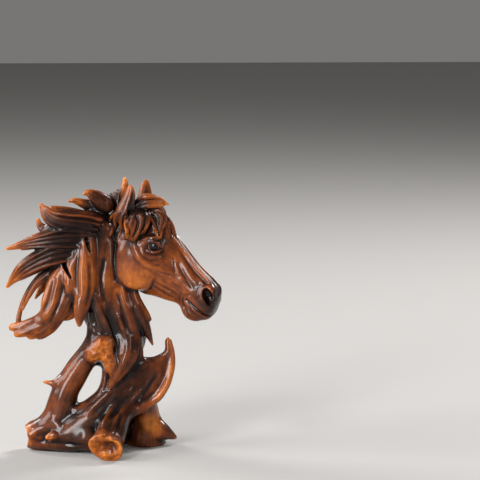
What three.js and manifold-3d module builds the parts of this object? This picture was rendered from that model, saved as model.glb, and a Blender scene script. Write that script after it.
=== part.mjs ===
// Horse head sculpture: a bust with a wind-blown mane, cast in one piece with its base of twisted
// roots. Millimetres, +Z up. The horse looks along +X, turned a little towards -Y, and the mane
// flies back along -X. The origin is on the surface that the base stands on, at the middle of the
// sculpture's length and depth.
import * as THREE from "three";
import { LoftGeometry } from "three/addons/geometries/LoftGeometry.js";
import { mergeVertices } from "three/addons/utils/BufferGeometryUtils.js";
import Module from "manifold-3d";

// Driving dimensions, in mm and degrees.
const LENGTH = 210; // from the mane's tips to the nose
const DEPTH = 125; // from the front stump to the back root
const HEIGHT = 270; // from the ground to the highest tuft
const HEAD_TURN = 24; // how far the head turns out of the side view
const EYE_RADIUS = 4.6;
const NOSTRIL_RADIUS = 4.4;
const FLUTE = 0.13; // depth of the flutes along a lock, as a share of its half-width
const TIP = 0.6; // least half-width, at a lock's tip
const EAR_HOLLOW = 0.68; // width of an ear's hollow, as a share of the ear's

// The carving's points are drawn on a figure of this size, and follow the driving dimensions.
const DRAWN = new THREE.Vector3(210, 125, 270);
const STRETCH = new THREE.Vector3(LENGTH, DEPTH, HEIGHT).divide(DRAWN);
const UNIT = STRETCH.z;

const wasm = await Module();
wasm.setup();

function solidOf(geometry) {
  const bare = new THREE.BufferGeometry();
  bare.setAttribute("position", geometry.getAttribute("position"));
  bare.setIndex(geometry.getIndex());
  const merged = mergeVertices(bare, 1e-4);
  return new wasm.Manifold(
    new wasm.Mesh({
      numProp: 3,
      vertProperties: merged.attributes.position.array,
      triVerts: new Uint32Array(merged.index.array),
    }),
  );
}

const place = ([x, y, z]) => new THREE.Vector3(x, y, z).multiply(STRETCH);

// A ring of points across a path. Every second point is drawn in by the flute.
function ring(centre, across, through, [halfWidth, halfThick], sides, flute) {
  return Array.from({ length: sides }, (_, i) => {
    const angle = (2 * Math.PI * i) / sides;
    const reach = i % 2 ? 1 - flute : 1;
    return centre
      .clone()
      .addScaledVector(across, halfWidth * reach * Math.cos(angle))
      .addScaledVector(through, halfThick * reach * Math.sin(angle));
  });
}

// A solid along a smooth path. Each row of the path is [x, y, z, half-width], and its
// half-thickness is the row's fifth number, or else the half-width times flat. The thickness runs
// along facing, which is squared to the path.
function strand(rows, { flat = 0.7, sides = 8, steps = 6, facing = [0, 1, 0], flute = FLUTE } = {}) {
  const smooth = (points) => new THREE.CatmullRomCurve3(points, false, "catmullrom", 0.5);
  const curve = smooth(rows.map(place));
  const sizes = smooth(rows.map(([, , , wide, thick]) => new THREE.Vector3(wide, thick ?? wide * flat, 0)));
  const sections = [];
  for (let i = 0; i <= steps; i++) {
    const share = i / steps;
    const tangent = curve.getTangent(share).normalize();
    const through = new THREE.Vector3(...facing);
    through.addScaledVector(tangent, -through.dot(tangent)).normalize();
    const across = new THREE.Vector3().crossVectors(through, tangent);
    const size = sizes.getPoint(share);
    const halves = [size.x, size.y].map((half) => Math.max(half, TIP) * UNIT);
    sections.push(ring(curve.getPoint(share), across, through, halves, sides, flute));
  }
  return solidOf(new LoftGeometry(sections, { capStart: true, capEnd: true }));
}

// The head's own frame: forward along the face, aside to the horse's far side, and up.
const HEAD_AT = [14, 6];
const turn = THREE.MathUtils.degToRad(HEAD_TURN);
const onHead = (forward, aside, up, ...sizes) => [
  HEAD_AT[0] + forward * Math.cos(turn) + aside * Math.sin(turn),
  HEAD_AT[1] - forward * Math.sin(turn) + aside * Math.cos(turn),
  up,
  ...sizes,
];

// The skull, muzzle and jaw from back to front: the top and bottom of each section as
// [forward, up], then its half-width.
const SKULL = [
  [[-2, 240], [-14, 205], 17],
  [[12, 240], [-8, 182], 20],
  [[28, 236], [2, 164], 22],
  [[40, 227], [18, 156], 21.5],
  [[50, 214], [31, 153], 18.5],
  [[60, 201], [42, 150], 15.5],
  [[71, 187.5], [52, 147.5], 13],
  [[81.5, 177.5], [58, 142], 12.5],
  [[88.5, 171], [64, 136], 13.5],
  [[94.5, 163.5], [74, 132.5], 13.5],
  [[96.5, 156], [84, 133.5], 11],
  [[94.5, 148], [90, 138], 7],
];
const SKULL_SIDES = 16;
const BRIDGE_NARROWING = 0.42;
const JAW_NARROWING = 0.38;

function skull() {
  const sections = SKULL.map(([top, bottom, halfWidth]) =>
    Array.from({ length: SKULL_SIDES }, (_, i) => {
      const angle = (2 * Math.PI * i) / SKULL_SIDES;
      const up = Math.sin(angle);
      const narrowing = up > 0 ? BRIDGE_NARROWING : JAW_NARROWING;
      const aside = halfWidth * Math.cos(angle) * (1 - narrowing * up * up);
      const share = (1 + up) / 2;
      const forward = THREE.MathUtils.lerp(bottom[0], top[0], share);
      return place(onHead(forward, aside, THREE.MathUtils.lerp(bottom[1], top[1], share)));
    }),
  );
  return solidOf(new LoftGeometry(sections, { capStart: true, capEnd: true }));
}

// An egg of three half-axes [forward, aside, up], turned down with the face by pitch degrees.
function egg([forward, aside, up], halves, pitch = 0, pieces = [8, 5]) {
  const shape = new THREE.SphereGeometry(1, ...pieces);
  shape.scale(...halves.map((half) => half * UNIT));
  shape.rotateY(THREE.MathUtils.degToRad(pitch));
  shape.rotateZ(-turn);
  const at = place(onHead(forward, aside, up));
  shape.translate(at.x, at.y, at.z);
  return solidOf(shape);
}

const BOTH_SIDES = [-1, 1];

// Everything on one side of the face: cheek plate, eye with its brow and lid, crest, nose ridge,
// nostril and lips.
function faceSide(side) {
  const on = (forward, aside, up, ...sizes) => onHead(forward, side * aside, up, ...sizes);
  const crease = { facing: [Math.sin(turn), Math.cos(turn), 0], flat: 0.75, sides: 5, steps: 3, flute: 0 };
  return {
    added: [
      egg([12, side * 12, 184], [21, 12, 25], 12, [10, 6]),
      egg([34, side * 18, 204], [EYE_RADIUS, EYE_RADIUS, EYE_RADIUS], 0, [8, 6]),
      strand([on(24, 18, 206, 1), on(30, 21, 211, 3), on(38, 19.5, 209, 3), on(44, 15, 201, 1)], crease),
      strand([on(26, 19, 200, 1), on(33, 20.5, 198, 1.8), on(40, 18, 199, 1)], crease),
      strand([on(12, 20, 208, 1), on(24, 20.5, 197, 2.6), on(38, 18, 186, 2.6), on(52, 13, 176, 1)], crease),
      strand([on(56, 7.5, 196, 1), on(68, 7.6, 184, 2.4), on(78, 7.8, 174, 2.4), on(86, 8, 164, 1.5)], crease),
      egg([87.5, side * 9, 158], [7.5, 5, 10], 30),
    ],
    cut: [
      egg([90.5, side * 13.5, 157.5], [NOSTRIL_RADIUS, 5, NOSTRIL_RADIUS * 1.55], -20),
      strand([on(62, 13, 152, 1), on(71, 13, 147, 1.2), on(80, 12, 140, 1.2), on(86, 9, 133, 1)], {
        ...crease,
        flat: 2.6,
      }),
    ],
  };
}

// A cupped ear: a broad leaf with its inside scooped out towards the front.
function ear(rows, facing, open) {
  const shape = { flat: 0.6, flute: 0, sides: 8, facing };
  const scooped = rows
    .slice(1)
    .map(([x, y, z, wide]) => [x + open[0], y + open[1], z + open[2], wide * EAR_HOLLOW]);
  return strand(rows, shape).subtract(strand(scooped, { ...shape, steps: 4 }));
}
const EARS = [
  ear(
    [[5, -11, 228, 6], [9, -14, 240, 9], [12.5, -16, 252, 7.5], [15.5, -16, 263.5, 0.8]],
    [0.5, 0.9, 0],
    [4, -3, 0],
  ),
  ear(
    [[30, 16, 232, 6], [31.5, 18, 246, 7], [31.5, 19, 254, 5.5], [32, 20, 263.4, 0.8]],
    [0.45, -0.9, 0],
    [3, -3, 0],
  ),
];

// The forelock: locks blown forward from the poll, then curls that fall over the brow and temples.
const FORELOCK = [
  [[22, 2, 235, 6], [33, -6, 245, 6.5], [45, -10, 248, 5], [54, -12, 243.5, 0.8]],
  [[21, 8, 241, 5], [31, 4, 249, 4], [41, 0, 253.5, 0.8]],
  [[13, -10, 230, 7], [24, -18, 238, 8], [33, -22, 231, 8], [30, -25, 220, 6], [21, -25, 209, 0.8]],
  [[27, -6, 236, 7], [43, -13, 237, 6.5], [49, -18, 230, 6], [47, -21, 221, 4.5], [42, -23, 213, 0.8]],
  [[38, -2, 232, 6], [50, -9, 226, 5.5], [56, -13, 217, 4], [60, -15, 208, 0.8]],
  [[28, 12, 238, 6], [43, 9, 233, 6], [52, 4, 222, 5], [56, -1, 211, 0.8]],
  [[20, 16, 236, 7], [34, 20, 232, 7], [40, 20, 220, 6], [38, 20, 208, 0.8]],
  [[7, -14, 236, 4], [3, -19, 226, 6], [3, -20, 217, 4.5], [1, -19, 207, 0.8]],
];
const TUFT = [[5, 6, 238, 4], [8, 5, 254, 4], [10.5, 4, 269.8, 0.8]];

// The mane's flying locks, from the nape back to their tips: near side, middle and far side.
const MANE = [
  [[-2, -2, 236, 10], [-10, -2, 245, 9], [-17, -3, 251, 7], [-25, -4, 255, 4], [-30, -4, 253, 0.8]],
  [[-6, 2, 231, 10], [-17, 2, 239, 8], [-29, 1, 244, 5], [-38, 0, 247, 3], [-45, 0, 246, 0.8]],
  [
    [-12, -7, 222, 12], [-28, -9, 227, 11], [-47, -9, 229, 10], [-60, -8, 233, 8], [-67, -7, 240, 5],
    [-70, -6, 245, 0.8],
  ],
  [[-44, 8, 214, 9], [-62, 9, 216, 7], [-71, 9, 221, 4], [-74, 9, 229, 0.8]],
  [[-20, -8, 214, 11], [-48, -9, 212, 11], [-70, -9, 209, 9], [-87, -8, 205.5, 5], [-104.5, -7, 201, 0.8]],
  [
    [-28, -6, 200, 10], [-52, -8, 195, 11], [-70, -8, 191, 11], [-86, -8, 182, 8.5], [-97, -7, 172, 5],
    [-104.5, -6, 163, 0.8],
  ],
  [
    [-44, 2, 186, 7], [-62, 1, 178, 6], [-75, 0, 168, 4.5], [-85, -2, 155, 3.2], [-91, -4, 142, 2.8],
    [-94, -7, 126, 2.6],
  ],
  [[-14, 18, 220, 11], [-36, 20, 228, 9], [-52, 20, 234, 6], [-62, 18, 240, 0.8]],
  [[-22, 20, 210, 11], [-50, 22, 210, 10], [-72, 20, 204, 7], [-92, 17, 197, 0.8]],
  [[-26, 20, 196, 10], [-52, 22, 192, 10], [-74, 19, 182, 8], [-94, 15, 166, 0.8]],
  [[-34, 18, 182, 8], [-54, 20, 174, 8], [-68, 18, 162, 5], [-78, 14, 148, 0.8]],
];
const CREST_HAIRS = 4; // short spiky hairs along the top of the neck

// The locks that hang down the near side of the neck. The far side repeats them, a little lower.
const NECK_LOCKS = [
  [
    [-21, -15, 223, 6], [-29, -18, 208, 7.5], [-34, -20, 190, 8], [-35, -20, 165, 7.5], [-36, -18, 146, 6],
    [-35, -16, 126, 1.5],
  ],
  [[-5, -15, 222, 8], [-12, -20, 204, 8.5], [-14, -22, 180, 9], [-16, -21, 152, 8], [-17, -18, 126, 5]],
  [[-1, -15, 212, 7], [-5, -20, 188, 8], [-4, -21, 160, 8], [1, -20, 136, 7], [7, -19, 112, 4]],
  [[-37, -14, 186, 8], [-45, -16, 164, 8.5], [-48, -15, 146, 7], [-46, -13, 131, 2]],
  [[2, -16, 170, 7], [7, -19, 148, 7.5], [13, -18, 124, 7], [17, -15, 100, 3]],
  [[15, -10, 164, 7], [22, -12, 142, 7.5], [31, -10, 122, 5], [38, -9, 104.5, 0.8]],
  [[-14, -16, 224, 6], [-21, -20, 213, 6], [-23, -22, 192, 7], [-25, -21, 168, 6.5], [-27, -18, 145, 3]],
  [[-34, -10, 216, 4], [-45, -13, 202, 6], [-47, -15, 187, 5], [-42, -17, 171, 0.8]],
  [[11, -13, 152, 6], [16, -15, 132, 6], [22, -13, 114, 4.5], [27, -11, 97, 1.5]],
  [[-38, -10, 170, 8], [-44, -12, 153, 10], [-51, -12, 140, 8], [-62, -12, 127, 5], [-72, -11, 120, 1.5]],
];
const FAR_LOCKS = 5; // only these first ones are repeated
const FAR_SHIFT = [-2, -5]; // how far the far side's locks are moved back and down
const NECK_MIDDLE = 3; // the far side mirrors the near one in this Y

// The neck, the body of the mane and its lowest lock.
const NECK = [
  { rows: [[2, 6, 232, 16, 15], [-8, 6, 208, 26, 18], [-11, 4, 176, 29, 20], [-6, 2, 147, 29, 20],
    [5, 0, 120, 27, 19], [2, 0, 101, 26, 17], [9, 0, 80, 20, 16]], sides: 12, steps: 7 },
  { rows: [[-12, 6, 224, 14, 13], [-34, 7, 214, 20, 13], [-54, 7, 207, 19, 9], [-72, 6, 202, 13, 5]],
    sides: 10, steps: 5 },
  { rows: [[-36, -4, 192, 13, 12], [-50, -9, 171, 14, 10], [-59, -11, 150, 13, 9], [-68, -11, 133, 11, 8],
    [-84, -10, 123, 8, 7], [-102, -9, 123, 5, 5]], sides: 10, steps: 7, flute: FLUTE },
];

// The root base. Roots cross over an opening: one flows down to the back foot, a broad sheet
// curls up into a horn in front, and branches end in cut stumps.
const ROOTS = [
  { rows: [[-10, -3, 126, 11, 14], [-21, -4, 103, 10.5, 13], [-37, -4, 79, 12, 12], [-48, -3, 59, 13, 13],
    [-53, -1, 38, 16, 15], [-58, 3, 14, 20, 18]], sides: 10, steps: 6 },
  { rows: [[-50, -5, 70, 6, 5], [-59, -6, 68, 3, 3], [-71, -6, 69.5, 0.8, 0.8]], sides: 6, steps: 3 },
  { rows: [[7, -10, 130, 10, 8], [10, -15, 108, 12, 8], [7, -17, 86, 13, 8], [-6, -13, 62, 2, 4]],
    sides: 8, steps: 5, flute: 0 },
  { rows: [[52, -6, 109, 0.8, 0.8], [53, -6, 97, 5, 4.5], [46, -4, 83, 14, 6], [33, -4, 70, 20, 8],
    [18, -6, 60, 21, 10], [2, -9, 48, 20, 12], [-17, -9, 35, 19, 14], [-38, -4, 27, 18, 14]],
    sides: 10, steps: 8, flute: 0 },
  { rows: [[8, -2, 83, 14, 14], [26, -3, 80, 12, 9], [42, -4, 80, 10, 5]], sides: 8, steps: 3, flute: 0 },
  { rows: [[54, -7, 100, 3, 4], [56.5, -9, 83, 3.5, 5], [52, -11, 67, 4.5, 6], [43, -13, 55, 5, 6.5],
    [30, -15, 47, 6, 7], [12, -16, 42, 8, 8]], sides: 6, steps: 6, flute: 0 },
  { rows: [[10, -9, 51, 13, 12], [1, -20, 38, 13, 12], [-6, -36, 22, 13, 13.5], [-8, -50.5, 10.5, 14, 15]],
    sides: 12, steps: 5, flute: 0.06 },
  { rows: [[30, 0, 60, 12, 10], [33, 10, 42, 12, 12], [34, 20, 22, 14, 13], [36, 25, -5, 20, 17]],
    sides: 12, steps: 5 },
  { rows: [[34, 18, 16, 9, 12], [46, 20, 11, 8, 9], [61.5, 20, 7, 1.2, 2]], sides: 8, steps: 3 },
  { rows: [[-28, -3, 22, 15, 15], [-51, 0, 14, 17, 16], [-68, 2, 11, 14, 13], [-83, 2, 13.5, 10, 9]],
    sides: 8, steps: 4 },
  { rows: [[-50, -4, 24, 6, 6], [-59, -10, 18, 6.5, 6.5], [-66, -15, 13, 6.5, 6.5]], sides: 8, steps: 2 },
  { rows: [[8, 6, 84, 16, 14], [11, 20, 54, 16, 13], [12, 37, 26, 15, 13], [6, 56.5, -5, 14, 12]],
    sides: 8, steps: 5 },
  { rows: [[16, 4, 70, 12, 12], [36, 14, 40, 11, 11], [49, 36, -5, 12, 11]], sides: 8, steps: 4 },
  { rows: [[-56, 8, 14, 17, 13], [-30, 22, 16, 20, 12], [-2, 34, 18, 22, 12], [26, 32, 16, 20, 12]],
    sides: 8, steps: 4, facing: [0, 1, 0.3], flute: 0 },
];
const KNOT = { rows: [[-7, -2, 108, 13, 14], [-12, -19, 102, 11.5, 15]], sides: 8, steps: 2, facing: [0, 0, 1] };

// A sunk end, where a cut branch is hollow.
const STUMP_HOLLOW = { at: [-9, -51.5, 11.5], halves: [10, 5, 8] };

function dish({ at, halves }) {
  const shape = new THREE.SphereGeometry(1, 10, 6);
  const centre = place(at);
  shape.scale(...halves.map((half) => half * UNIT));
  shape.translate(centre.x, centre.y, centre.z);
  return solidOf(shape);
}

const farLock = (rows) =>
  rows.map(([x, y, z, wide]) => [x + FAR_SHIFT[0], 2 * NECK_MIDDLE - y, z + FAR_SHIFT[1], wide]);

const neckLock = (rows) => strand(rows, { flat: 0.6, sides: 6, steps: 4, flute: 0 });

function crestHairs() {
  return Array.from({ length: CREST_HAIRS }, (_, i) => {
    const back = -3.2 * i;
    const rows = [
      [2 + back, 4 + i, 236, 2.4],
      [1 + back, 4 + i, 248 - i, 2.2],
      [4 + 1.4 * back, 4 + i, 259 - 1.6 * i, 0.6],
    ];
    return strand(rows, { flat: 0.9, sides: 5, steps: 2, flute: 0 });
  });
}

function sculpture() {
  const sides = BOTH_SIDES.map(faceSide);
  const added = [
    skull(),
    egg([67, 0, 140.3], [11.5, 9.5, 7.5], 35),
    ...sides.flatMap((side) => side.added),
    ...EARS,
    ...[...NECK, ...ROOTS, KNOT].map(({ rows, ...options }) => strand(rows, options)),
    ...[...FORELOCK, TUFT].map((rows) => strand(rows, { sides: 6, steps: 4, flute: 0 })),
    ...MANE.map((rows) => strand(rows, { steps: 4 })),
    ...[...NECK_LOCKS, ...NECK_LOCKS.slice(0, FAR_LOCKS).map(farLock)].map(neckLock),
    ...crestHairs(),
  ];
  const cuts = [...sides.flatMap((side) => side.cut), dish(STUMP_HOLLOW)];
  const whole = wasm.Manifold.union(added).subtract(wasm.Manifold.union(cuts));
  const room = new THREE.BoxGeometry(2 * LENGTH, 2 * DEPTH, 2 * HEIGHT).translate(0, 0, HEIGHT);
  const cast = whole.intersect(solidOf(room));
  // The casting is solid, so a gap sealed in between locks is filled.
  return wasm.Manifold.union(cast.decompose().filter((body) => body.volume() > 0));
}

function geometryOf(solid) {
  const { numProp, vertProperties, triVerts } = solid.getMesh();
  const geometry = new THREE.BufferGeometry();
  const stored = new THREE.InterleavedBuffer(vertProperties, numProp);
  geometry.setAttribute("position", new THREE.InterleavedBufferAttribute(stored, 3, 0));
  geometry.setIndex(new THREE.BufferAttribute(triVerts, 1));
  return geometry.toNonIndexed();
}

const geometry = geometryOf(sculpture());
geometry.computeBoundingBox();
const middle = geometry.boundingBox.getCenter(new THREE.Vector3());
geometry.translate(-middle.x, -middle.y, 0);
geometry.computeVertexNormals();

const glaze = new THREE.MeshStandardMaterial({ color: 0x5c2c12, roughness: 0.28, metalness: 0 });
const horseHead = new THREE.Mesh(geometry, glaze);
horseHead.name = "horse_head";

const part = new THREE.Group();
part.add(horseHead);
export default part;
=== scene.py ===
"""A horse head sculpture: one glossy casting with a carved-wood look, head, mane and root base in one.

The figure is drawn in millimetres, with the same paths as its CAD model, and is moved to the CAD
model's place. Each form is lofted along its path, the forms are joined and carved in a field of
distances, and the surface of that field becomes the one mesh that stands for the CAD node.
"""

import math
from collections import namedtuple

import bpy
import numpy as np
import openvdb
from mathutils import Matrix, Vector

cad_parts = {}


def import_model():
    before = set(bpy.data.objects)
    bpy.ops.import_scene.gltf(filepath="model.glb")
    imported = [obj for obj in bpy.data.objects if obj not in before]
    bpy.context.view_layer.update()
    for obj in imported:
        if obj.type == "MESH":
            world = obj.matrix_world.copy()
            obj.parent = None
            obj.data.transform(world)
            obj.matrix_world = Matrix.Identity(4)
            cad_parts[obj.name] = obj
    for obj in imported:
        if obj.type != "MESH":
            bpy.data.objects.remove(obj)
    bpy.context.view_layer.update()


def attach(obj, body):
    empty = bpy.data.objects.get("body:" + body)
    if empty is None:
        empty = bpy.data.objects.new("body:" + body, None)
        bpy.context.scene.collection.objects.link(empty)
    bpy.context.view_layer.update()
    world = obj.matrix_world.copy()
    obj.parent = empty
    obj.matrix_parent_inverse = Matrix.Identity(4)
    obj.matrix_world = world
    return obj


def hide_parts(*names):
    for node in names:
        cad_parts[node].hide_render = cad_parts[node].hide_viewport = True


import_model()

# Sizes, in millimetres on the drawn figure.
MM = 0.001
DRAWN_MIDDLE = np.array([0.1, 3.7, 0.0])  # the drawn point that lies over the CAD origin
VOXEL = 0.7  # spacing of the field of distances
BAND = math.ceil(6 / VOXEL)  # how many voxels from a surface its distances are kept
FAR = BAND * VOXEL
FIELD_LOW = np.array([-112.0, -70.0, -6.0])
FIELD_HIGH = np.array([112.0, 76.0, 276.0])
MOST_TRIANGLES = 190000
SEED = 11

HEAD_DEGREES = 24  # how far the head turns to the viewer
HEAD_TURN = math.radians(HEAD_DEGREES)
HEAD_AT = np.array([14.0, 6.0, 0.0])
EYE = (35.2, 17.6, 205.5)  # on the head: forward, aside, up
EYE_RADIUS = 5.2
NECK_MIDDLE = 3.0  # the far side mirrors the near one in this Y


# The field of distances

CORNER = np.floor(FIELD_LOW / VOXEL).astype(int)
field = np.full(np.ceil((FIELD_HIGH - FIELD_LOW) / VOXEL).astype(int), FAR, np.float32)
owner = np.zeros(field.shape, np.uint8)  # which of the joined forms made the surface there
joined = []  # each joined form with the name of its finish

Form = namedtuple("Form", "mesh centre across through")


def distances(points, quads, triangles):
    """The signed distances around a closed mesh, and the first voxel that they fill."""
    grid = openvdb.FloatGrid.createLevelSetFromPolygons(
        np.ascontiguousarray(points, np.float32),
        triangles=np.ascontiguousarray(triangles, np.uint32),
        quads=np.ascontiguousarray(quads, np.uint32),
        transform=openvdb.createLinearTransform(VOXEL),
        halfWidth=BAND,
    )
    low, high = (np.array(corner) for corner in grid.evalActiveVoxelBoundingBox())
    low = np.maximum(low, CORNER)
    high = np.minimum(high, CORNER + field.shape - 1)
    block = np.empty(high - low + 1, np.float32)
    grid.copyToArray(block, ijk=tuple(int(i) for i in low))
    return block, low - CORNER


def window(grid, block, at):
    return grid[tuple(slice(a, a + n) for a, n in zip(at, block.shape))]


def join(form, finish, soft):
    """Adds a form, with a fillet of about soft millimetres where it meets the others."""
    block, at = distances(*form.mesh)
    part = window(field, block, at)
    window(owner, block, at)[block < part] = len(joined)
    joined.append((form, finish))
    blend(part, block, soft)


def blend(part, block, soft):
    share = np.clip(0.5 + 0.5 * (part - block) / soft, 0, 1)
    share[(part >= FAR) & (block >= FAR)] = 0
    part += (block - part) * share - soft * share * (1 - share)


def cut(form, soft):
    """Takes a form away, with an edge rounded by about soft millimetres."""
    block, at = distances(*form.mesh)
    part = window(field, block, at)
    share = np.clip(0.5 - 0.5 * (part + block) / soft, 0, 1)
    share[block >= FAR] = 0
    part += (-block - part) * share + soft * share * (1 - share)


def apart(make, soft):
    """Makes some forms on their own, and adds the whole to the figure with a fillet."""
    global field, owner
    figure, figure_owner = field, owner
    field = np.full_like(figure, FAR)
    owner = np.zeros_like(figure_owner)
    make()
    nearer = field < figure
    figure_owner[nearer] = owner[nearer]
    blend(figure, field, soft)
    field, owner = figure, figure_owner


def sample(grid, points, step=1):
    """The grid's values at points, blended from the eight around each. The grid has every step-th voxel."""
    place = (points / VOXEL - CORNER) / step
    low = np.clip(np.floor(place).astype(int), 0, np.array(grid.shape) - 2)
    share = place - low
    value = 0
    for corner in np.ndindex(2, 2, 2):
        weight = np.prod(np.where(corner, share, 1 - share), axis=1)
        value = value + weight * grid[tuple((low + corner).T)]
    return value


# Forms

TIP = 1.0  # least half-width of a lock
RING_STEP = 2  # run between a strand's rings
LEAST_RINGS = 8
LEAST_SIDES = 24
SIDES_PER_FLUTE = 6
GROOVE_SHARPNESS = 1.5
WAVER = 0.9  # how far the grooves sway along a lock, in radians
WAVERS = 1.3  # how often they sway
END_CUT = 0.98  # how far into its last half-width an end is rounded
EGG_RINGS = 24
EGG_SIDES = 32
EGG_GRAIN = np.linspace(-30, 30, 9)  # the upright line that an egg's grain follows


def smooth(points, shares):
    """A Catmull-Rom curve through the points, at shares of its whole run."""
    p = np.asarray(points, float)
    p = np.vstack([2 * p[0] - p[1], p, 2 * p[-1] - p[-2]])
    along = shares * (len(points) - 1)
    i = np.minimum(along.astype(int), len(points) - 2)
    u = (along - i)[:, None]
    a, b, c, d = p[i], p[i + 1], p[i + 2], p[i + 3]
    return 0.5 * (2 * b + (c - a) * u + (2 * a - 5 * b + 4 * c - d) * u**2 + (3 * b - 3 * c + d - a) * u**3)


def unit(vectors):
    return vectors / np.linalg.norm(vectors, axis=-1, keepdims=True)


def loft(rings):
    """A closed mesh over rings of points, with a fan on each end."""
    count, sides = rings.shape[:2]
    points = np.vstack([rings.reshape(-1, 3), rings[0].mean(0), rings[-1].mean(0)])
    i = np.arange(count - 1)[:, None] * sides
    j = np.arange(sides)[None, :]
    k = (j + 1) % sides
    quads = np.stack([i + j, i + k, i + sides + k, i + sides + j], -1).reshape(-1, 4)
    j, k = j[0], k[0]
    last = (count - 1) * sides
    start = np.stack([k, j, np.full(sides, count * sides)], -1)
    end = np.stack([last + j, last + k, np.full(sides, count * sides + 1)], -1)
    return points, quads, np.vstack([start, end])


def strand(rows, flat=0.7, facing=(0, 1, 0), flutes=0, depth=0.1, twist=0.0, blunt=False):
    """A form along a path of [x, y, z, half-width] rows. A fifth number is the half-thickness.

    Flutes are grooves cut along it, depth is their share of its size, and twist turns them along it.
    Both of its ends are rounded, unless it is blunt.
    """
    rows = np.array([row if len(row) > 4 else [*row, row[3] * flat] for row in rows], float)
    length = np.linalg.norm(np.diff(rows[:, :3], axis=0), axis=1).sum()
    shares = np.linspace(0, 1, max(int(length / RING_STEP), LEAST_RINGS))
    centre = smooth(rows[:, :3], shares)
    tangent = unit(np.gradient(centre, axis=0))
    facing = np.array(facing, float)
    through = unit(facing - tangent * (tangent @ facing)[:, None])
    across = np.cross(through, tangent)
    size = np.maximum(smooth(rows[:, 3:5], shares), TIP)
    if not blunt:
        to_end = np.minimum(shares, 1 - shares)[:, None] * length
        size = size * np.sqrt(1 - np.clip(1 - to_end / size[:, :1], 0, END_CUT) ** 2)
    sides = max(SIDES_PER_FLUTE * flutes, LEAST_SIDES)
    angle = 2 * np.pi * np.arange(sides) / sides
    sway = twist * shares + WAVER * np.sin(2 * np.pi * (WAVERS * shares + rows[0, 0]))
    groove = (0.5 + 0.5 * np.cos(flutes * angle + sway[:, None])) ** GROOVE_SHARPNESS
    reach = 1 - (depth * groove if flutes else 0 * groove)
    wide = (size[:, :1] * np.cos(angle) * reach)[..., None]
    thick = (size[:, 1:] * np.sin(angle) * reach)[..., None]
    rings = centre[:, None] + across[:, None] * wide + through[:, None] * thick
    return Form(loft(rings), centre, across, through)


def egg(at, halves, turns=(0, 0, 0), power=1.0):
    """An egg with three half-axes, turned about X, Y and Z in degrees. A power under 1 makes it boxier."""
    up = np.linspace(-np.pi / 2, np.pi / 2, EGG_RINGS)[1:-1, None]
    turn = 2 * np.pi * np.arange(EGG_SIDES) / EGG_SIDES
    parts = [np.cos(up) * np.cos(turn), np.cos(up) * np.sin(turn), np.sin(up) + 0 * turn]
    shape = np.stack(parts, -1)
    shape = np.sign(shape) * np.abs(shape) ** power * np.array(halves)
    for axis, degrees in enumerate(turns):
        c, s = math.cos(math.radians(degrees)), math.sin(math.radians(degrees))
        i, j = [(1, 2), (2, 0), (0, 1)][axis]
        turned = shape.copy()
        turned[..., i] = c * shape[..., i] - s * shape[..., j]
        turned[..., j] = s * shape[..., i] + c * shape[..., j]
        shape = turned
    centre = np.array(at) + EGG_GRAIN[:, None] * UP
    across = np.tile([1.0, 0, 0], (len(centre), 1))
    through = np.tile([0, 1.0, 0], (len(centre), 1))
    return Form(loft(shape + np.array(at)), centre, across, through)


# The head, in its own frame: forward along the face, aside to the far side, and up.

FORWARD = np.array([math.cos(HEAD_TURN), -math.sin(HEAD_TURN), 0])
ASIDE = np.array([math.sin(HEAD_TURN), math.cos(HEAD_TURN), 0])
UP = np.array([0, 0, 1.0])
BOTH_SIDES = (-1, 1)


def on_head(forward, aside, up):
    return HEAD_AT + forward * FORWARD + aside * ASIDE + up * UP


def outermost(points):
    """The first of the points that is inside the figure."""
    inside = np.flatnonzero(sample(field, points) < 0)
    return points[inside[0] if len(inside) else len(points) // 2]


REACH = np.arange(70, -70, -0.4)  # places looked at from outside the figure, inwards
FACE_REACH = np.arange(32, 0, -0.25)  # the same beside the face
GROOVE_DEPTH = 1.6  # of a groove's half-width
GROOVE_LIFT = 1.9  # so that a groove's ends run out on the surface


def seated(path, rows, out, sink):
    """Rows on path points pushed in from the surface. With no sink, a groove is deeper where it is wider."""
    depths = [GROOVE_DEPTH * row[2] - GROOVE_LIFT if sink is None else sink for row in rows]
    return [[*(point - out * depth), row[2]] for point, row, depth in zip(path, rows, depths)]


def laid(rows, side=-1, sink=0.0):
    """Rows of [x, z, half-width] laid on the near side of the figure, or on its far side."""
    path = [outermost(np.stack([x + 0 * REACH, side * REACH, z + 0 * REACH], 1)) for x, z, half in rows]
    return seated(path, rows, np.array([0, side, 0]), sink)


def on_face(side, rows, sink):
    """Rows of [forward, up, half-width] laid on one side of the face."""
    path = [outermost(np.array([on_head(f, side * a, u) for a in FACE_REACH])) for f, u, half in rows]
    return seated(path, rows, ASIDE * side, sink)


# Sections from the poll to the lips: top and bottom as (forward, up), and the half-width.
SKULL = [
    ((-2, 240), (-14, 205), 17),
    ((12, 240), (-8, 182), 20),
    ((28, 236), (2, 164), 22),
    ((40, 227), (18, 156), 20.5),
    ((50, 214), (31, 153), 17.5),
    ((60, 201), (42, 150), 14.5),
    ((71, 187.5), (52, 147.5), 12),
    ((81.5, 177.5), (58, 142), 11.5),
    ((88.5, 171), (64, 136), 12.5),
    ((94.5, 163.5), (74, 132.5), 12.5),
    ((96.5, 156), (84, 133.5), 10.5),
    ((94.5, 148), (90, 138), 6),
]
SKULL_RINGS = 60
SKULL_SIDES = 64
BRIDGE_NARROWING = 0.25
JAW_NARROWING = 0.4
BRIDGE_FLATNESS = 0.65


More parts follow.
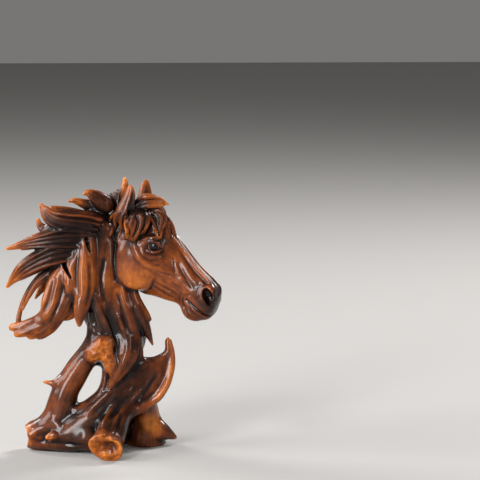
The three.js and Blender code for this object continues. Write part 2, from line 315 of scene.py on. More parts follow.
def skull():
    rows = np.array([[*top, *bottom, wide] for top, bottom, wide in SKULL], float)
    section = smooth(rows, np.linspace(0, 1, SKULL_RINGS))
    angle = 2 * np.pi * np.arange(SKULL_SIDES) / SKULL_SIDES
    up = np.sin(angle)
    narrowing = np.where(up > 0, BRIDGE_NARROWING, JAW_NARROWING)
    profile = np.sign(np.cos(angle)) * np.abs(np.cos(angle)) ** BRIDGE_FLATNESS * (1 - narrowing * up**2)
    share = (1 + up) / 2
    forward = section[:, 2, None] + (section[:, 0] - section[:, 2])[:, None] * share
    height = section[:, 3, None] + (section[:, 1] - section[:, 3])[:, None] * share
    aside = section[:, 4, None] * profile
    rings = on_head(forward[..., None], aside[..., None], height[..., None])
    centre = rings.mean(1)
    through = np.tile(ASIDE, (len(centre), 1))
    across = unit(np.cross(through, np.gradient(centre, axis=0)))
    return Form(loft(rings), centre, across, through)


def fold(side, rows, sink, **options):
    """A form laid on one side of the face."""
    return strand(on_face(side, rows, sink), facing=ASIDE, **options)


def face_strand(side, rows):
    """A form of the face with rows of [forward, aside, up, half-width]."""
    placed = [[*on_head(f, side * a, u), half] for f, a, u, half in rows]
    return strand(placed, facing=ASIDE, flat=0.8)


def face_egg(side, at, halves, pitch=0, toe=0, power=1.0):
    """An egg on the face, turned down with the face by its pitch, and in towards the nose by its toe."""
    turns = (0, pitch, -HEAD_DEGREES - side * toe)
    return egg(on_head(at[0], side * at[1], at[2]), halves, turns, power)


BROW = [
    [20, 18.5, 203.6, 1], [24.6, 20.2, 208.4, 1.4], [31, 21.2, 212.2, 1.6], [37.5, 20.2, 213.4, 1.4],
    [43, 17, 213.6, 1],
]
UPPER_LID = [
    [26.6, 18.8, 203.4, 0.9], [30.6, 21.8, 208.8, 1.5], [35.8, 22.6, 210.6, 1.7], [40.6, 20.6, 208.4, 1.5],
    [44.4, 17, 203, 0.9],
]
LOWER_LID = [
    [26.6, 18.8, 203.4, 0.9], [30.8, 21.4, 200.6, 1.1], [35.6, 22, 199.4, 1.2], [40.4, 20, 200, 1.1],
    [44.4, 17, 203, 0.9],
]
EYE_BAGS = [
    [[24.5, 203, 0.8], [27, 197, 1.2], [33, 194, 1.4], [41, 194.6, 0.8]],
    [[22.5, 200, 0.8], [25.5, 193, 1.2], [32, 189.6, 1.4], [41, 189.4, 0.8]],
    [[21, 196, 0.7], [25, 188.6, 1], [32, 185.2, 1.1], [40, 184.6, 0.7]],
]
CREST = [[15, 210, 1.4], [18, 202, 2.4], [22.5, 194, 2.8], [30, 187.5, 2.6], [39, 182.5, 2.2], [54, 176, 1.4]]
NASAL_RIDGE = [[56, 199, 1.2], [62.7, 188, 2], [70.4, 175.5, 2.2], [77, 168, 1.4]]
NOSE_RIDGE = [
    [48, 5.4, 214.5, 1.2], [60, 5, 200.4, 1.7], [71, 5, 187, 1.8], [81.5, 5.2, 177, 1.8],
    [88.5, 5.6, 170.4, 1.8], [94, 6.4, 163, 1.2],
]
NOSTRIL_WING = [[76, 174, 1], [81.5, 168.5, 2.2], [82, 160, 2], [83, 153, 1]]
MOUTH = [
    [64.5, 153.5, 0.8], [68, 151, 1.3], [74, 146.5, 1.4], [80, 142, 1.4], [88, 138, 1.2], [93, 137.5, 0.8],
]
WRINKLES = [
    [[67, 160, 0.6], [62, 155, 0.9], [61, 149, 0.9], [64, 143.5, 0.6]],
    [[71, 160, 0.6], [66.2, 156.4, 0.8], [64.4, 151, 0.6]],
    [[62, 160, 0.6], [57.5, 154.5, 0.9], [57, 149, 0.6]],
    [[68, 147, 0.6], [70, 142.5, 0.9], [75, 138, 0.6]],
    [[64, 144, 0.6], [66, 139, 0.8], [71, 134.5, 0.6]],
    [[53, 195, 0.5], [54.6, 185, 0.8], [56, 176, 0.5]],
    [[37, 181.5, 0.5], [48, 178, 1], [61, 175, 0.5]],
    [[36, 169, 0.5], [46, 163, 0.9], [56, 156, 0.5]],
    [[33, 165, 0.5], [42, 158.5, 0.8], [51, 153, 0.5]],
    [[42, 172, 0.5], [52, 165.5, 0.8], [62, 159, 0.5]],
    [[35, 172, 0.4], [31, 165, 0.6], [26, 160, 0.4]],
    [[57, 190, 0.5], [65, 175, 0.8], [73, 165, 0.5]],
    [[50, 171, 0.5], [58, 165, 0.8], [66, 161, 0.5]],
]

# Eggs of the face: the place on the head, the half-axes, then pitch, toe and power where they are needed.
CHEEK = ((13, 15, 187), (20.5, 9.5, 25.5), 12, 10, 0.8)
NOSE_SIDE = ((87, 7.4, 158.5), (8, 6, 11), 24)
TEAR_HOLLOW = ((48, 20.5, 199), (6, 5, 8))
JAW_HOLLOW = ((34, 25, 170), (9, 5, 5), 35)
SOCKET = (EYE, (6.2, 3, 4.6))
EYE_CORNER = ((46, 16.6, 208.6), (2.6, 3.4, 3.4))
EYE_BALL = (EYE, (EYE_RADIUS + 1, EYE_RADIUS - 0.8, EYE_RADIUS))
NOSTRIL = ((89, 12.2, 157.4), (5.2, 7, 9.2), -22)
NOSTRIL_FLAP = ((91.6, 8.2, 154.5), (2.6, 3, 4.6), -22)
CHIN_AT = (67, 0, 140.3)
CHIN_HALVES = (11.5, 9.5, 7.5)
CHIN_PITCH = 35


def head():
    join(skull(), "skin", 3)
    for side in BOTH_SIDES:
        join(face_egg(side, *CHEEK), "skin", 9)
        join(face_egg(side, *NOSE_SIDE), "skin", 3)
        cut(face_egg(side, *TEAR_HOLLOW), 4)
        cut(face_egg(side, *JAW_HOLLOW), 4)
        cut(face_egg(side, *SOCKET), 2)
        cut(face_egg(side, *EYE_CORNER), 2)
    join(egg(on_head(*CHIN_AT), CHIN_HALVES, (0, CHIN_PITCH, -HEAD_DEGREES)), "skin", 3)
    for side in BOTH_SIDES:
        for rows in EYE_BAGS:
            join(fold(side, rows, 0.2), "skin", 1.5)
        join(fold(side, CREST, 0.6), "skin", 2.5)
        join(fold(side, NASAL_RIDGE, 0.8), "skin", 3)
        join(fold(side, NOSTRIL_WING, 0.8), "skin", 2.5)
        join(face_strand(side, NOSE_RIDGE), "skin", 2)
        join(face_egg(side, *EYE_BALL), "eye", 0.3)
        join(face_strand(side, BROW), "brow", 6)
        for rows in (UPPER_LID, LOWER_LID):
            join(face_strand(side, rows), "lid", 0.6)
        for rows in (*WRINKLES, MOUTH):
            cut(fold(side, rows, None, flat=1.3), 2)
        cut(face_egg(side, *NOSTRIL), 1.2)
        join(face_egg(side, *NOSTRIL_FLAP), "skin", 1.5)


# Ears, broad leaves scooped out towards the front: the path, where the leaf faces, and the scoop's shift.
EARS = [
    ([[5.8, -12, 225, 5], [8.1, -13.5, 233, 8], [11.6, -15, 240, 8.6], [14.4, -16, 248, 7.4],
      [16.2, -16, 256, 5.4], [16.6, -16, 264.5, 1.6]], (0.45, 0.9, 0), (4.6, -3.4, 1)),
    ([[30, 16, 232, 6], [31, 18, 246, 7.6], [31.5, 19, 256, 6.2], [32.5, 20, 266, 2]], (0.45, -0.9, 0),
     (3, -3, 0)),
]
EAR_HOLLOW = 0.56
EAR_STRANDS = [
    [[7, 239, 2.2], [1.8, 231, 3], [2.6, 222, 2.8], [-0.4, 214, 2], [2.4, 206, 1]],
    [[11, 238, 2.2], [7.4, 229, 2.8], [8.6, 220, 2.6], [5, 212, 2], [6, 204, 1]],
    [[3, 237, 2.2], [-2.6, 229, 2.6], [-1, 221, 2.4], [-3.6, 213, 1]],
    [[13, 236, 2.2], [11.6, 227, 2.6], [13, 219, 2.2], [9.6, 211, 1]],
]


def ears():
    for rows, facing, scoop in EARS:
        join(strand(rows, flat=0.6, facing=facing), "ear", 1.5)
    for rows, facing, scoop in EARS:
        hollow = [[x + scoop[0], y + scoop[1], z + scoop[2], wide * EAR_HOLLOW] for x, y, z, wide in rows[1:]]
        cut(strand(hollow, flat=0.6, facing=facing), 0.8)
    for side in BOTH_SIDES:
        for rows in EAR_STRANDS:
            join(strand(laid(rows, side, -0.3), flutes=3, depth=0.3, twist=2), "forelock", 0.5)


# Hair
FORELOCK = [
    [[20, -6, 240, 4.6], [30, -10, 246, 4.8], [43, -12, 248.6, 4], [54.4, -12, 243.7, 1]],
    [[20, 2, 246, 3.6], [28, 0, 252, 4], [36, -1, 254, 3], [41, -2, 252.4, 1]],
    [[19, -9, 244, 2.4], [26, -13, 250.5, 2.4], [35, -15, 252, 2.2], [44, -14, 250.5, 1]],
    [[20, -12, 240, 2.4], [29, -15, 246, 2.6], [40, -16, 247, 2.4], [49, -14.5, 246, 1]],
    [[21, -12, 237.6, 2.6], [30, -15, 242.4, 2.8], [41, -16, 243.8, 2.4], [50.6, -14, 243.4, 1]],
    [[22, -4, 248, 2.6], [31, -8, 252.6, 2.6], [39, -9, 252, 2], [45, -9.5, 249.4, 1]],
    [[30, -6, 238, 4.4], [41, -11, 236.4, 4.6], [48, -13, 232.4, 4], [50, -13, 224, 1.4]],
    [[28, 12, 238, 6], [43, 9, 234, 6], [52, 4, 223, 5], [56, -1, 211, 1]],
    [[46, -8, 233, 5], [54, -12, 224, 4.6], [57.5, -15, 215.7, 3.6], [59.4, -16, 207.6, 1]],
]
CURL = [
    [30, -12, 239, 7.4, 5], [25.4, -20, 232.6, 10, 5.4], [21.6, -23, 224.6, 9.8, 5.4],
    [19, -23.6, 216.5, 7.6, 4.6], [21, -23, 208, 1.2, 1.2],
]
CURL_STRANDS = [
    [[34.4, 238, 2], [33.6, 231, 2.4], [30, 222, 2.4], [26, 214.6, 2], [22.6, 208.6, 1]],
    [[24.6, 238, 2], [27.6, 231.7, 2.4], [25.4, 223, 2.4], [21, 215, 2], [18.6, 210, 1]],
    [[21, 237, 2], [17, 229, 2.4], [14.4, 221, 2.4], [13.6, 214.6, 2], [16.5, 209, 1]],
    [[18, 236, 1.8], [13, 228, 2.2], [11, 219.7, 2], [11.4, 213, 1]],
    [[36, 238, 2.6], [42, 233.3, 2.8], [45.6, 225.3, 2.6], [46, 218.3, 2.2], [45, 213, 1]],
    [[35, 233, 2], [38.6, 226.6, 2.2], [40.6, 220.3, 2], [42.4, 214, 1]],
    [[43, 236, 3], [50, 227.7, 3], [53, 218.7, 2.6], [55, 209.6, 1]],
    [[38, 239, 1.6], [45, 238.4, 2.4], [49.4, 233.6, 2.4], [50, 227, 2.2], [48, 221, 1]],
    [[41, 236, 1.4], [45.6, 233.6, 2], [46.4, 228, 2], [44, 221, 1]],
]
CURL_LINES = [
    [[16.3, 236, 0.6], [14.3, 226.5, 1], [15.7, 218.5, 1], [19.6, 210, 0.6]],
    [[21, 237, 0.6], [23.6, 228.7, 1.1], [21.4, 220, 1.3], [18.4, 213, 0.6]],
    [[29.5, 236, 0.6], [30, 227, 1], [26, 218, 1], [22.4, 211, 0.6]],
]
TUFT = [[8, 5, 242, 3], [10, 3, 254, 4], [11.6, 3, 263, 3.4], [10.8, 3, 270, 1.2]]
MANE = [
    [[-2, -2, 236, 10], [-10, -2, 245, 9], [-17, -3, 251, 7], [-25, -4, 255, 4], [-30, -4, 253, 1]],
    [[-6, 2, 231, 10], [-17, 2, 239, 8], [-29, 1, 244, 5], [-38, 0, 247, 3], [-45, 0, 246, 1]],
    [[-12, -7, 222, 12], [-28, -9, 226, 13], [-47, -9, 228, 12], [-60, -8, 232, 9], [-67, -7, 239, 5],
     [-71, -6, 245, 1]],
    [[-44, 8, 214, 9], [-62, 9, 216, 7], [-71, 9, 221, 4], [-74, 9, 229, 1]],
    [[-20, -8, 212, 13], [-48, -9, 212, 13], [-70, -9, 209, 9], [-87, -8, 205.5, 5], [-104.5, -7, 201, 1]],
    [[-28, -6, 200, 12], [-52, -8, 197, 13], [-70, -8, 191, 11], [-86, -8, 182, 8.5], [-97, -7, 172, 5],
     [-104.5, -6, 163, 1]],
    [[-14, 18, 220, 11], [-36, 20, 228, 9], [-52, 20, 234, 6], [-62, 18, 240, 1]],
    [[-22, 20, 210, 11], [-50, 22, 210, 10], [-72, 20, 204, 7], [-92, 17, 197, 1]],
    [[-26, 20, 196, 10], [-52, 22, 192, 10], [-74, 19, 182, 8], [-94, 15, 166, 1]],
    [[-34, 18, 182, 8], [-54, 20, 174, 8], [-68, 18, 162, 5], [-78, 14, 148, 1]],
]
HOOKS = [
    [[-44, 2, 186, 7], [-62, 1, 178, 6], [-75, 0, 168, 4.5], [-85, -2, 155, 3.2], [-91, -4, 142, 2.8],
     [-94, -7, 126, 2.6]],
    [[-44, -6, 184, 4.5], [-60, -7, 177.5, 4], [-74, -7, 167, 3.2], [-83, -7, 154, 2.4], [-89, -6, 140, 1]],
    [[-42, -9, 178, 4], [-54, -10, 173, 3.4], [-61, -9, 169, 2.2], [-65, -9, 165, 1]],
]
WISP_OFFSETS = (-0.62, -0.22, 0.2, 0.6)  # where fine wisps run on a lock, as shares of its half-width
WISP_RISE = 0.62  # how far in front of the lock's middle
WISP_SHARE = 0.17  # how wide
CREST_HAIRS = 6
CREST_STEP = 2.6  # from one short hair behind the ears to the next
NECK_LOBES = [
    [[-18, -8, 224, 6], [-26, -13, 206, 10.5], [-28, -16.5, 184, 11], [-29, -20.5, 160, 10],
     [-33, -22.5, 140, 6.5], [-34, -22, 126, 1.5]],
    [[-5, -8, 226, 6], [-13, -10, 204, 8.5], [-14, -13, 180, 9], [-13, -16, 152, 8.5], [-10, -15, 126, 6],
     [-4, -10, 108, 3]],
    [[-4, -9, 212, 4.5], [-4.5, -13, 188, 5.5], [-3.5, -14, 162, 6.5], [2, -14, 138, 7], [8, -11, 112, 4]],
    [[-36, -10, 208, 4], [-39, -14, 190, 6.5], [-42, -18, 168, 7], [-40, -17, 150, 2]],
    [[4, -12, 172, 6], [8, -15, 148, 7], [13, -14, 124, 6.5], [17, -11, 100, 3]],
    [[15, -10, 164, 7], [22, -12, 142, 7.5], [31, -10, 122, 5], [38, -9, 104.5, 1]],
    [[22, -12, 150, 3], [30, -12, 138, 3.6], [36.5, -10, 130, 1]],
    [[11, -13, 152, 6], [15, -14, 132, 7], [19, -12, 114, 7], [22, -9, 98, 6.5], [24, -6, 84, 4]],
]
FAR_LOBES = 5
FAR_SHIFT = (-2, -5)
NECK_DRIPS = [
    [[-18, 158, 1.6], [-15.3, 145.6, 2.4], [-9, 130, 2.4], [-2, 117, 1]],
    [[-9, 134, 1.4], [-5, 118, 2.2], [2.7, 105, 1]],
    [[4, 138, 1.4], [8.3, 124.5, 2.4], [12, 112, 1]],
    [[-23, 140, 1.6], [-21, 128, 2.4], [-14, 116, 1]],
    [[21, 146, 1.6], [28, 130, 2.4], [35, 112, 1]],
    [[15, 108, 1.4], [19, 98, 2.2], [22, 88, 1]],
    [[-25, 128, 1.4], [-23.5, 120, 2], [-20, 112, 1]],
]
SLOTS = [
    [[-24.3, 227, 0.8], [-26.5, 216, 1.9], [-25, 206, 1.7], [-22, 198, 0.7]],
    [[-46, 207, 0.8], [-49.5, 195, 2.1], [-47, 184, 1.9], [-41, 173, 0.7]],
    [[-35, 220, 0.8], [-39, 212, 1.7], [-43, 205, 0.7]],
]
NECK_LINES = [
    [[-33, 204, 0.6], [-36, 182, 1.3], [-35, 158, 0.6]],
    [[-23, 188, 0.6], [-23, 166, 1.2], [-26, 148, 0.6]],
    [[-9, 192, 0.6], [-12, 172, 1], [-9, 150, 0.6]],
    [[-58, 172, 0.6], [-64, 150, 1.2], [-74, 133, 0.6]],
    [[-49, 166, 0.6], [-54, 148, 1.2], [-62, 130, 0.6]],
    [[4, 158, 0.6], [9, 138, 1.1], [16, 114, 0.6]],
]
NECK = [
    dict(rows=[[2, 6, 232, 16, 14], [-8, 6, 208, 26, 16], [-11, 4, 176, 29, 17], [-6, 2, 147, 29, 18],
         [5, 0, 120, 27, 17], [2, 0, 101, 26, 16], [9, 0, 80, 20, 15]]),
    dict(rows=[[-6, 0, 228, 13, 14], [-20, 0, 222, 16, 14], [-36, 2, 216, 19, 13], [-54, 3, 209, 21, 10],
         [-72, 4, 202, 16, 6]], flutes=22, depth=0.07),
]
LOW_LOCK = [
    [-36, -4, 192, 13, 12], [-50, -9, 171, 14, 10], [-58, -12.5, 151, 13, 9], [-64, -14, 137, 10, 8],
    [-72, -10, 128, 7, 6],
]
LOW_TIPS = [
    [[-58, -9, 150, 4], [-70, -10, 133, 6.5], [-86, -9, 126, 5.6], [-97, -8, 124, 4.4], [-103, -8, 124, 2.4]],
    [[-56, -12, 146, 4], [-68, -13, 130, 6.5], [-83, -12, 121.5, 5.6], [-93, -11, 118, 4],
     [-98, -10, 117, 2.2]],
    [[-54, -13, 142, 4], [-64, -14, 126, 6.5], [-77, -12, 118, 4.8], [-85, -11, 114.5, 2.6]],
    [[-52, -12, 142, 5], [-59, -13, 127, 6], [-69, -11, 117.6, 4.6], [-76, -10, 113.4, 2]],
    [[-38, -10, 170, 8], [-44, -13, 153, 10], [-51, -13, 140, 8], [-62, -12, 126, 5], [-71, -11, 118, 1.5]],
    [[-34, -10, 162, 7], [-37, -13, 147, 7], [-41, -12, 137.5, 5], [-49, -11, 131, 1.5]],
]


def far_lobe(rows):
    return [[x + FAR_SHIFT[0], 2 * NECK_MIDDLE - y, z + FAR_SHIFT[1], wide] for x, y, z, wide in rows]


def wisp(rows, offset):
    """A fine wisp that runs on the near side of a lock, all along it."""
    rows = np.array(rows, float)
    tangent = unit(np.gradient(rows[:, :3], axis=0))
    across = np.cross([0, 1.0, 0], tangent)
    path = rows[:, :3] + across * rows[:, 3:4] * offset - np.array([0, WISP_RISE, 0]) * rows[:, 3:4]
    half = np.clip(rows[:, 3] * WISP_SHARE, 0.6, 1.7)
    return strand(np.column_stack([path, half, half]).tolist())


def across_head(rows):
    """The same rows on the other side of the head."""
    places = [np.array(row[:3]) for row in rows]
    return [[*(at - 2 * ((at - HEAD_AT) @ ASIDE) * ASIDE), *row[3:]] for at, row in zip(places, rows)]


def neck():
    for form in NECK:
        join(strand(**form), "neck", 3)
    for rows in [*NECK_LOBES, *[far_lobe(rows) for rows in NECK_LOBES[:FAR_LOBES]]]:
        join(strand(rows, flat=0.7, flutes=3, depth=0.03), "lobe", 4)
    join(strand(LOW_LOCK, flutes=4, depth=0.08, twist=0.5), "lobe", 3)
    for rows in LOW_TIPS:
        join(strand(rows, flutes=6, depth=0.12, twist=2), "tip", 2.5)
    for side in BOTH_SIDES:
        for rows in NECK_DRIPS:
            join(strand(laid(rows, side, -0.4)), "drip", 2.5)
        for rows in NECK_LINES:
            cut(strand(laid(rows, side, None), flat=1.2), 4)
        for rows in SLOTS:
            cut(strand(laid(rows, side, None), flat=2.5), 0.8)


def hair():
    for i, rows in enumerate(MANE):
        join(strand(rows, flutes=18, depth=0.09, twist=2 + i % 3), "mane", 2.5)
    for rows in HOOKS:
        join(strand(rows, flutes=7, depth=0.15, twist=1), "hook", 2)
    for rows in MANE[2:6]:
        for offset in WISP_OFFSETS:
            join(wisp(rows, offset), "mane", 0.8)
    for i in range(CREST_HAIRS):
        x = 6 - CREST_STEP * i
        tip = [8 - 1.3 * CREST_STEP * i, 3 + i, 260 - 1.8 * i, 1]
        join(strand([[x, 3 + i, 236, 3.4], [x - 1, 3 + i, 248 - i, 2.6], tip], flat=0.9), "crest", 0.8)
    for rows in (CURL, across_head(CURL)):
        join(strand(rows), "forelock", 1.0)
    join(strand(TUFT, flutes=5, depth=0.2), "tip", 0.5)
    for rows in FORELOCK:
        join(strand(rows, flutes=6, depth=0.34, twist=2), "forelock", 0.4)
    for side in BOTH_SIDES:
        for rows in CURL_STRANDS:
            join(strand(laid(rows, side, -0.3), flutes=3, depth=0.3), "forelock", 0.4)
        for rows in CURL_LINES:
            cut(strand(laid(rows, side, None), flat=1.3), 0.5)


# Roots
ROOTS = [
    dict(rows=[[-10, -3, 126, 11, 14], [-21, -4, 103, 11, 13], [-37, -4, 79, 12.5, 12],
         [-48, -3, 59, 13.5, 13], [-53, -1, 38, 16, 15], [-58, 3, 14, 20, 18]]),
    dict(rows=[[-50, -6, 35, 9, 8], [-36, -8, 33, 10, 10], [-20, -12, 32, 10, 10], [-8, -16, 30, 10, 9]]),
    dict(rows=[[-52, -10, 12, 10, 10], [-34, -14, 15, 13, 12], [-14, -22, 18, 15, 13]]),
    dict(rows=[[-60, -10, 17, 8, 8], [-44, -13, 23, 9.5, 9], [-28, -15, 31, 9.5, 9], [-14, -14, 39, 7, 8]]),
    dict(rows=[[-58, -2, 32, 9, 11], [-72, 0, 24, 9, 11], [-83, 1, 17, 10, 10]], blunt=True),
    dict(rows=[[-50, -5, 70, 6, 5], [-59, -6, 68, 3, 3], [-71, -6, 69.5, 1, 1]]),
    dict(rows=[[52, -4, 109, 1, 1], [53, -4, 97, 5, 5], [46, -3, 83, 14, 9], [33, -3, 70, 20, 12],
         [18, -5, 60, 21, 14], [2, -8, 48, 20, 15], [-17, -8, 35, 19, 15], [-38, -4, 27, 18, 14]]),
    dict(rows=[[8, -2, 83, 14, 14], [26, -3, 80, 12, 9], [42, -4, 80, 10, 5]]),
    dict(rows=[[10, -9, 51, 13, 12], [2, -22, 37, 14, 13], [-6, -40, 19, 15.5, 13],
         [-9, -57.5, 13, 17.5, 13.4]], flutes=5, depth=0.05, twist=1, blunt=True),
    dict(rows=[[30, 0, 60, 12, 10], [31, 10, 42, 10.5, 12], [31, 18, 26, 12, 13], [31, 22, 10, 17, 16],
         [31, 24, -9, 23, 19]], flutes=3, depth=0.08, twist=1, blunt=True),
    dict(rows=[[34, 15, 21, 11, 12], [46, 17, 15, 9, 9.5], [55, 19, 10, 5, 6], [61.5, 20, 6.5, 1.4, 2.4]]),
    dict(rows=[[-28, -3, 18, 17, 17], [-51, 0, 13, 18, 18], [-68, 2, 12, 15, 14], [-84.5, 2, 14.5, 12, 11]],
         flutes=8, depth=0.1, twist=1, blunt=True),
    dict(rows=[[7, 0, 104, 10, 9], [8, 6, 84, 14, 13], [11, 20, 54, 16, 13], [12, 37, 26, 15, 13],
         [6, 59, -9, 15, 13]], flutes=7, depth=0.08, twist=1, blunt=True),
    dict(rows=[[16, 4, 70, 12, 12], [30, 14, 40, 10.5, 11], [40, 37, -9, 13, 11]],
         flutes=7, depth=0.08, twist=1, blunt=True),
    dict(rows=[[-60, 8, 12, 19, 15], [-30, 22, 14, 20, 14], [-2, 34, 16, 22, 14], [28, 32, 14, 20, 14]],
         facing=(0, 1, 0.3), flutes=9, depth=0.07, blunt=True),
]
BARK_RIDGES = [
    [[30, 48, 1.5], [27, 32, 2.8], [31, 18, 2]],
    [[-82, 20, 2], [-68, 24, 3], [-54, 27, 2]],
]
FOLDS = [
    [[15, 63, 1.2], [0, 47, 2.6], [-11, 35, 1.2]],
    [[-5, 60, 1.2], [-16, 49, 2.6], [-27, 39, 1.2]],
    [[25, 62, 1.2], [12, 48, 2.4], [1, 37, 1.2]],
    [[3, 58, 1], [-8, 47, 1.8], [-18, 38, 1]],
]
HOLE_EDGE = [[-8, -6, 84, 4, 8], [-9.5, -6, 70, 4, 9], [-13.5, -6, 58, 4.5, 9], [-22, -6, 50, 4.5, 9],
             [-31, -6, 44, 4.5, 10], [-42, -4, 41.6, 4, 10]]
BARK_LINES = [
    [[-76, 17, 0.6], [-62, 12, 1.3], [-44, 10, 1.3], [-28, 10, 0.6]],
    [[-3, 36, 0.5], [-9, 25, 1.2], [-13, 18, 0.5]],
    [[7, 42, 0.5], [3, 31, 1.2], [0, 22, 0.5]],
    [[12, 114, 0.6], [14, 100, 1.3], [8, 84, 0.6]],
    [[41, 77, 0.5], [35, 67, 1], [27, 57, 0.5]],
]
WING_TROUGH = [
    [51, -20, 97, 2, 6], [44, -27, 84, 11, 12], [30, -31, 71, 17, 15], [14, -32, 61, 16, 14],
    [-4, -33, 51, 12, 12], [-22, -31, 42, 7, 9],
]
WING_RIM = [
    [53, -4, 111, 1, 1.5], [55.4, -6, 98, 1.8, 2.6], [55.4, -8, 84, 2.2, 3.2], [51, -11, 68, 2.8, 3.8],
    [42, -13, 54, 3.2, 4.4], [28.4, -14, 45, 3.4, 4.6], [12, -15, 39, 3, 4.6],
]
WING_HOLLOW = [
    [55, -14.5, 113, 1.2, 3], [53.4, -18.7, 99, 4.4, 8], [49.6, -21.9, 86, 8, 9.5], [43.4, -26, 71, 11, 11],
    [33, -30, 60, 11, 12], [20, -32, 53, 9, 12],
]
TONGUE = [
    [8, -8, 130, 10, 8], [13, -13, 110, 11, 8], [11, -16, 92, 10, 8], [1, -15, 75, 6, 5],
    [-7, -13, 61, 1.5, 3],
]
TONGUE_LEAF = [[13, -15, 112, 4], [19, -18, 99, 4], [18.5, -19, 88, 1]]
# The knob's eggs: place, half-axes and turns.
KNOB = [
    ((-11, -15, 104), (11, 8.5, 12), (0, 0, 0)),
    ((-19.5, -12.4, 99), (9, 7.4, 9.5), (0, 34, 0)),
    ((-5, -15, 93), (8, 8, 13), (0, -14, 0)),
    ((-8, -16, 110), (8, 5.6, 6.4), (0, 0, 0)),
    ((-2.5, -13.4, 82), (4.5, 5.5, 8), (0, -20, 0)),
]
STUB = [[-67.6, -18, 11, 3.6], [-64.4, -19, 14.6, 4.8], [-60, -19, 18.4, 4.6], [-56.4, -17, 21.6, 3]]
STUMP_HOLLOW = ((-8, -60, 12.5), (11.5, 6, 9))


def roots():
    for form in ROOTS:
        join(strand(**form), "root", 6)
    cut(strand(WING_TROUGH), 7)
    join(strand(WING_RIM), "rim", 8)
    cut(strand(WING_HOLLOW), 8)
    join(strand(HOLE_EDGE), "root", 3)
    join(strand(STUB, flutes=3, depth=0.15), "rim", 3)
    for side in BOTH_SIDES:
        for rows in BARK_RIDGES:
            join(strand(laid(rows, side, 1.5), flutes=3, depth=0.15), "root", 5)
    for rows in FOLDS:
        join(strand(laid(rows, sink=1)), "root", 4)
    for side in BOTH_SIDES:
        for rows in BARK_LINES:
            cut(strand(laid(rows, side, None), flat=1.3), 3)
    join(strand(TONGUE, flutes=6, depth=0.1, twist=0.6), "tongue", 2.5)
    join(strand(TONGUE_LEAF, flutes=3, depth=0.15), "tongue", 1.5)
    for form in KNOB:
        join(egg(*form), "knob", 4.5)
    cut(egg(*STUMP_HOLLOW), 2)


def flatten_base():
    """Cuts the feet off flat on the ground."""
    height = (CORNER[2] + np.arange(field.shape[2])) * VOXEL
    np.maximum(field, -height[None, None, :].astype(np.float32), out=field)


# The mesh, and what its paint needs to know at each vertex

# The paint's tone at a form's root, middle and tip, and how hairy it is. Tone 0 is nearly black, 1 golden.
FINISHES = {
    "skin": (0.49, 0.5, 0.49, 0.12),
    "eye": (0.3, 0.3, 0.3, 0.0),
    "lid": (0.34, 0.34, 0.34, 0.1),
    "brow": (0.42, 0.44, 0.42, 0.1),
    "ear": (0.34, 0.42, 0.44, 0.25),
    "forelock": (0.3, 0.42, 0.48, 0.7),
    "mane": (0.28, 0.34, 0.47, 0.9),
    "hook": (0.22, 0.25, 0.32, 0.9),
    "tip": (0.38, 0.42, 0.5, 0.5),
    "neck": (0.4, 0.4, 0.34, 0.2),
    "lobe": (0.42, 0.5, 0.38, 0.2),
    "drip": (0.3, 0.42, 0.34, 0.1),
    "root": (0.32, 0.37, 0.46, 0.25),
    "rim": (0.46, 0.46, 0.4, 0.15),
    "crest": (0.1, 0.12, 0.2, 0.6),
    "tongue": (0.32, 0.38, 0.44, 0.3),
    "knob": (0.62, 0.66, 0.6, 0.0),
}

TONE_STOPS = (0.05, 0.6, 1)  # where along a form its three tones hold
TONE_CHANCE = 0.05  # how much one form may differ from its like

# Places painted lighter or darker: centre, radius and how much. Most follow the casting's own paint; those
# marked below are painted shade.
PAINT_AND_SHADE_PATCHES = [
    ((10, -24, 168), 17, 0.24),
    ((26, -22, 172), 12, 0.12),
    ((-8, -58, 12), 14, 0.3),
    ((-88, 0, 18), 10, 0.1),
    ((-44, -24, 26), 9, 0.08),
    ((-62, -20, 15), 7, 0.1),
    ((40, 6, 30), 16, 0.14),
    ((50, -10, 96), 10, 0.06),
    ((46, -14, 78), 13, 0.2),
    ((40, -18, 62), 12, 0.16),
    ((22, -20, 50), 12, 0.06),
    ((30, -20, 82), 13, -0.12),
    ((54, 14, 22), 9, -0.36),
    ((44, 8, 34), 7, -0.16),
    ((-26, -28, 190), 16, 0.12),
    (on_head(91, -6, 150), 17, -0.36),
    (on_head(97, 0, 160), 12, -0.2),
    (on_head(68, -8, 138), 9, -0.06),
    ((34, 8, 24), 15, 0.5),
    # Painted shade: the shadow of the brow fold on the skin above each upper lid.
    *[(on_head(35, 20 * side, 210.4), 5, -0.32) for side in BOTH_SIDES],
    # Painted shade: the shadow in each inner eye corner, between the brow and the forelock.
    *[(on_head(47, 15 * side, 209), 5, -0.3) for side in BOTH_SIDES],
    (on_head(14, -20, 204), 9, -0.12),
    # Painted shade inside the hollow of the near ear.
    ((21, -19, 245), 8, -0.34),
    ((20, -17, 236), 7, -0.3),
    ((-18, -18, 132), 16, -0.16),
    ((32, -12, 120), 20, -0.14),
    ((-36, -17, 76), 14, 0.16),
    ((58, -8, 84), 12, 0.02),
    # Painted shade in the cavity between the stump and the right foot, down at the floor.
    ((16, -2, 20), 13, -0.3),
    # Painted shade on the low underside wall between the left root and the floor.
    ((-34, -16, 14), 16, -0.2),
    ((-40, -10, 218), 24, -0.16),
    ((-2, -20, 40), 24, -0.1),
]
CAVITY_REACHES = (2.5, 7.0)  # how far around a place its hollowness is felt
# Places left rough: centre and radius.
RAW = [((-9, -58, 12), 14), ((-11, -24, 100), 17), ((-90, -4, 15), 12), ((-63, -21, 15), 7)]
RAW_LUMPS = ((1.98, 8), (1.17, 3.4))  # how high the lumps of a rough place are, and how wide
WAVE_HEIGHT = 0.35  # of the slow waves all over
WAVE_SIZE = 11
LATTICE = 32  # how many random values noise has each way before it repeats
GRAIN_STEP = 173.0  # keeps the grain of one form from running on into the next
TONE_EVENING = 6
HAIR_EVENING = 4


